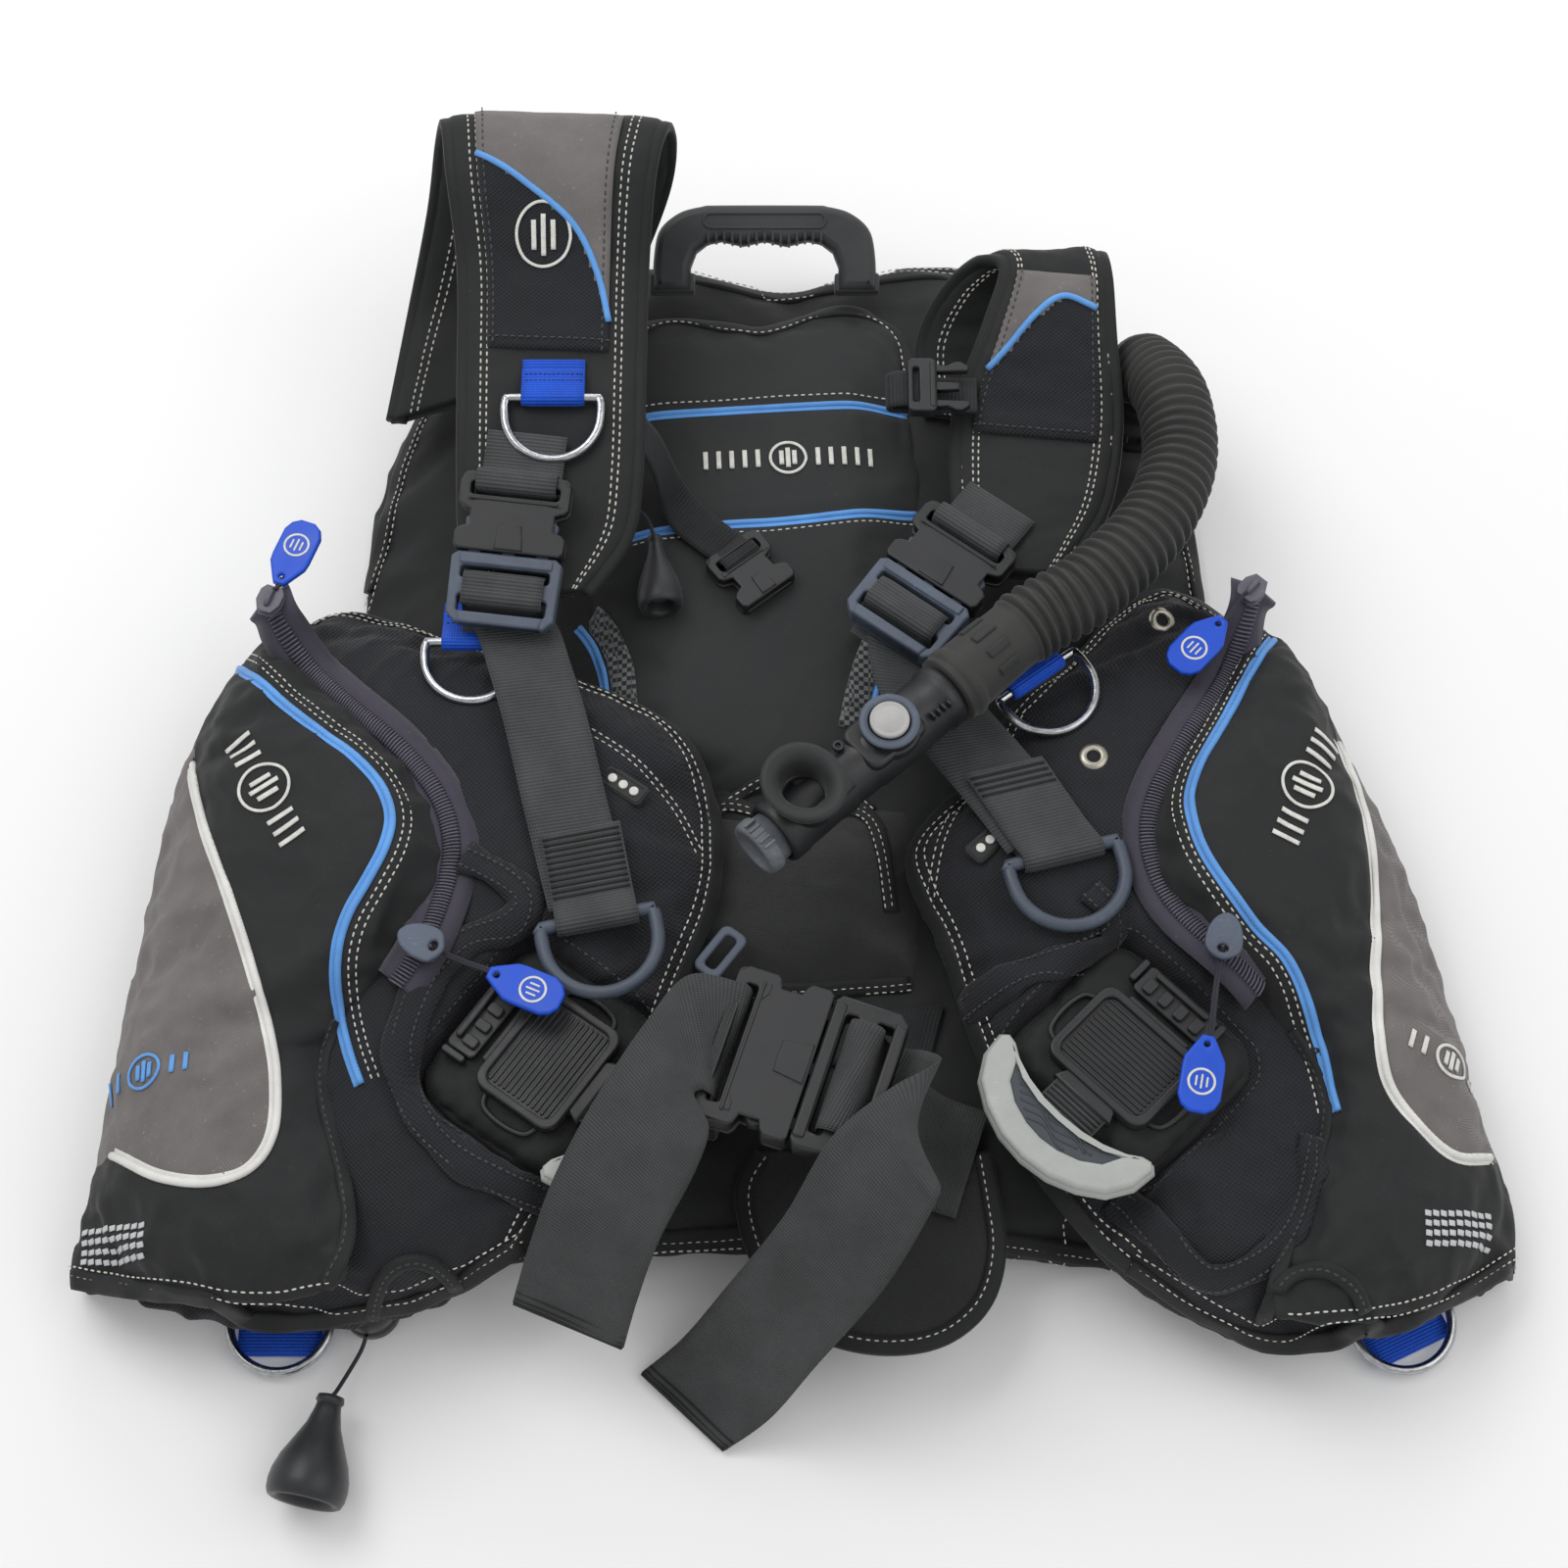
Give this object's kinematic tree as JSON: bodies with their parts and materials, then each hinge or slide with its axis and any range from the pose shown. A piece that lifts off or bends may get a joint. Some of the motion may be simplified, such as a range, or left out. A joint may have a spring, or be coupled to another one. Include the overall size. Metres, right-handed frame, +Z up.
{
  "type": "buoyancy compensator vest",
  "caption": "Scuba buoyancy vest lying on its back: padded shoulder straps, front air lobes with zip pockets, weight pouches, waist buckle, inflator hose and dump valves.",
  "frame": {"origin": "on the floor under the middle of the vest, which lies on its back", "axes": "+X towards the wearer's left, +Y towards the collar, +Z up out of the vest's front"},
  "size_m": [0.654, 0.6564, 0.1662],
  "materials": {
    "back_fabric": "coated nylon, satin",
    "pad_fabric": "smooth coated nylon",
    "lumbar_fabric": "brushed loop fabric",
    "backpack_plastic": "moulded",
    "tank_webbing": "nylon webbing",
    "cam_plastic": "moulded",
    "handle_rubber": "moulded",
    "hose_rubber": "corrugated",
    "elbow_plastic": "moulded",
    "inflator_plastic": "moulded, scuffed",
    "button_plastic": "moulded",
    "deflate_plastic": "worn",
    "mouthpiece_rubber": "soft",
    "valve_plastic": "moulded",
    "dump_cord": "braided",
    "knob_plastic": "satin",
    "waist_buckle_plastic": "moulded",
    "flap_fabric": "hook-and-loop",
    "strap_weave": "ballistic weave",
    "lobe_weave": "ballistic weave",
    "pocket_fabric": "coated nylon",
    "shoulder_buckle_plastic": "moulded",
    "ladder_plastic": "scuffed",
    "shoulder_webbing": "nylon webbing",
    "pull_ring_plastic": "moulded",
    "waist_webbing": "elastic webbing",
    "sternum_plastic": "moulded, on webbing",
    "pouch_fabric": "nylon",
    "weight_plastic": "moulded",
    "zip_pull_plastic": "soft moulded",
    "ring_steel": "polished stainless",
    "blue_webbing": "nylon webbing"
  },
  "bodies": {
    "vest": {"air_cell_back": "back_fabric", "back_pad": "pad_fabric", "lumbar_pad": "lumbar_fabric", "backpack_plate": "backpack_plastic", "tank_band": "tank_webbing", "cam_buckle_frame": "cam_plastic", "carry_handle": "handle_rubber", "inflator_hose": "hose_rubber", "hose_elbow": "elbow_plastic", "inflator_body": "inflator_plastic", "mouthpiece": "mouthpiece_rubber", "shoulder_dump_valve": "valve_plastic", "hem_dump_valve": "valve_plastic", "waist_buckle_female": "waist_buckle_plastic", "cummerbund_flap": "flap_fabric", "shoulder_strap_right": "strap_weave", "front_lobe_right": "lobe_weave", "zip_pocket_right": "pocket_fabric", "shoulder_buckle_female_right": "shoulder_buckle_plastic", "shoulder_buckle_ladder_right": "ladder_plastic", "shoulder_webbing_right": "shoulder_webbing", "waist_strap_right": "waist_webbing", "shoulder_strap_left": "strap_weave", "front_lobe_left": "lobe_weave", "zip_pocket_left": "pocket_fabric", "shoulder_buckle_female_left": "shoulder_buckle_plastic", "shoulder_buckle_ladder_left": "ladder_plastic", "shoulder_webbing_left": "shoulder_webbing", "keeper_shoulder_right": "blue_webbing", "keeper_chest_right": "blue_webbing", "keeper_chest_left": "blue_webbing", "keeper_hem_right": "blue_webbing", "keeper_hem_left": "blue_webbing"},
    "d_ring_shoulder_right": {"d_ring_shoulder_right": "ring_steel"},
    "d_ring_chest_right": {"d_ring_chest_right": "ring_steel"},
    "d_ring_chest_left": {"d_ring_chest_left": "ring_steel"},
    "d_ring_hem_right": {"d_ring_hem_right": "ring_steel"},
    "d_ring_hem_left": {"d_ring_hem_left": "ring_steel"},
    "pull_ring_right": {"pull_ring_right": "pull_ring_plastic"},
    "pull_ring_left": {"pull_ring_left": "pull_ring_plastic"},
    "sternum_right": {"sternum_half_right": "sternum_plastic"},
    "sternum_left": {"sternum_half_left": "sternum_plastic"},
    "cam_lever": {"cam_buckle_lever": "cam_plastic"},
    "power_button": {"power_button": "button_plastic"},
    "deflate_button": {"deflate_button": "deflate_plastic"},
    "weight_right": {"weight_pouch_right": "pouch_fabric", "weight_handle_right": "weight_plastic"},
    "weight_left": {"weight_pouch_left": "pouch_fabric", "weight_handle_left": "weight_plastic"},
    "zip_upper_right": {"zip_pull_upper_right": "zip_pull_plastic"},
    "zip_lower_right": {"zip_pull_lower_right": "zip_pull_plastic"},
    "zip_upper_left": {"zip_pull_upper_left": "zip_pull_plastic"},
    "zip_lower_left": {"zip_pull_lower_left": "zip_pull_plastic"},
    "waist_release": {"waist_buckle_male": "waist_buckle_plastic", "waist_strap_left": "waist_webbing"},
    "shoulder_dump": {"shoulder_dump_cord": "dump_cord", "shoulder_dump_knob": "knob_plastic"},
    "hem_dump": {"hem_dump_cord": "dump_cord", "hem_dump_knob": "knob_plastic"}
  },
  "joints": [
    {"name": "d_ring_shoulder_right_swing", "type": "hinge", "parent": "vest", "child": "d_ring_shoulder_right", "pos_m": [-0.115, 0.1607, 0.126], "axis": [-1, 0, 0], "range_deg": [0, 120]},
    {"name": "d_ring_chest_right_swing", "type": "hinge", "parent": "vest", "child": "d_ring_chest_right", "pos_m": [-0.151, 0.0487, 0.0894], "axis": [-1, 0, 0], "range_deg": [0, 10]},
    {"name": "d_ring_chest_left_swing", "type": "hinge", "parent": "vest", "child": "d_ring_chest_left", "pos_m": [0.113, 0.0307, 0.0894], "axis": [-0.8, -0.6, 0], "range_deg": [0, 60]},
    {"name": "d_ring_hem_right_swing", "type": "hinge", "parent": "vest", "child": "d_ring_hem_right", "pos_m": [-0.233, -0.2473, 0.007], "axis": [-1, 0, 0], "range_deg": [0, 40]},
    {"name": "d_ring_hem_left_swing", "type": "hinge", "parent": "vest", "child": "d_ring_hem_left", "pos_m": [0.271, -0.2473, 0.007], "axis": [-0.9062, -0.4229, 0], "range_deg": [0, 40]},
    {"name": "pull_ring_right_swing", "type": "hinge", "parent": "vest", "child": "pull_ring_right", "pos_m": [-0.089, -0.0943, 0.0954], "axis": [-0.9798, -0.2, 0], "range_deg": [0, 100]},
    {"name": "pull_ring_left_swing", "type": "hinge", "parent": "vest", "child": "pull_ring_left", "pos_m": [0.121, -0.0623, 0.0954], "axis": [-0.9684, -0.2496, 0], "range_deg": [0, 100]},
    {"name": "sternum_right_lift", "type": "hinge", "parent": "vest", "child": "sternum_right", "pos_m": [-0.073, 0.1487, 0.112], "axis": [0, -1, 0], "range_deg": [0, 60]},
    {"name": "sternum_left_lift", "type": "hinge", "parent": "vest", "child": "sternum_left", "pos_m": [0.089, 0.1797, 0.0982], "axis": [0, 1, 0], "range_deg": [0, 90]},
    {"name": "cam_lever_open", "type": "hinge", "parent": "vest", "child": "cam_lever", "pos_m": [-0.036, -0.0213, 0.0032], "axis": [0, 1, 0], "range_deg": [0, 110]},
    {"name": "power_button_press", "type": "slide", "parent": "vest", "child": "power_button", "axis": [0, 0, -1], "range_m": [0, 0.003], "stiffness_N_per_m": 400, "springref_m": -0.003},
    {"name": "deflate_button_press", "type": "slide", "parent": "vest", "child": "deflate_button", "axis": [0.7413, 0.6712, 0], "range_m": [0, 0.004], "stiffness_N_per_m": 300, "springref_m": -0.003},
    {"name": "weight_right_release", "type": "slide", "parent": "vest", "child": "weight_right", "axis": [0.8131, -0.5822, 0], "range_m": [0, 0.01]},
    {"name": "weight_left_release", "type": "slide", "parent": "vest", "child": "weight_left", "axis": [-0.7021, -0.7121, 0], "range_m": [0, 0.008]},
    {"name": "zip_upper_right_slide", "type": "slide", "parent": "vest", "child": "zip_upper_right", "axis": [0.6606, -0.7507, 0], "range_m": [0, 0.035]},
    {"name": "zip_lower_right_slide", "type": "slide", "parent": "vest", "child": "zip_lower_right", "axis": [0.0995, 0.995, 0], "range_m": [0, 0.018]},
    {"name": "zip_upper_left_slide", "type": "slide", "parent": "vest", "child": "zip_upper_left", "axis": [-0.3987, -0.9171, 0], "range_m": [0, 0.035]},
    {"name": "zip_lower_left_slide", "type": "slide", "parent": "vest", "child": "zip_lower_left", "axis": [-0.7507, 0.6606, 0], "range_m": [0, 0.03]},
    {"name": "waist_buckle_release", "type": "slide", "parent": "vest", "child": "waist_release", "axis": [0.9507, -0.3102, 0], "range_m": [0, 0.023]},
    {"name": "shoulder_dump_pull", "type": "slide", "parent": "vest", "child": "shoulder_dump", "axis": [0.0995, -0.995, 0], "range_m": [0, 0.008], "stiffness_N_per_m": 200, "springref_m": -0.002},
    {"name": "hem_dump_pull", "type": "slide", "parent": "vest", "child": "hem_dump", "axis": [-0.1961, -0.9806, 0], "range_m": [0, 0.008], "stiffness_N_per_m": 200, "springref_m": -0.002}
  ]
}
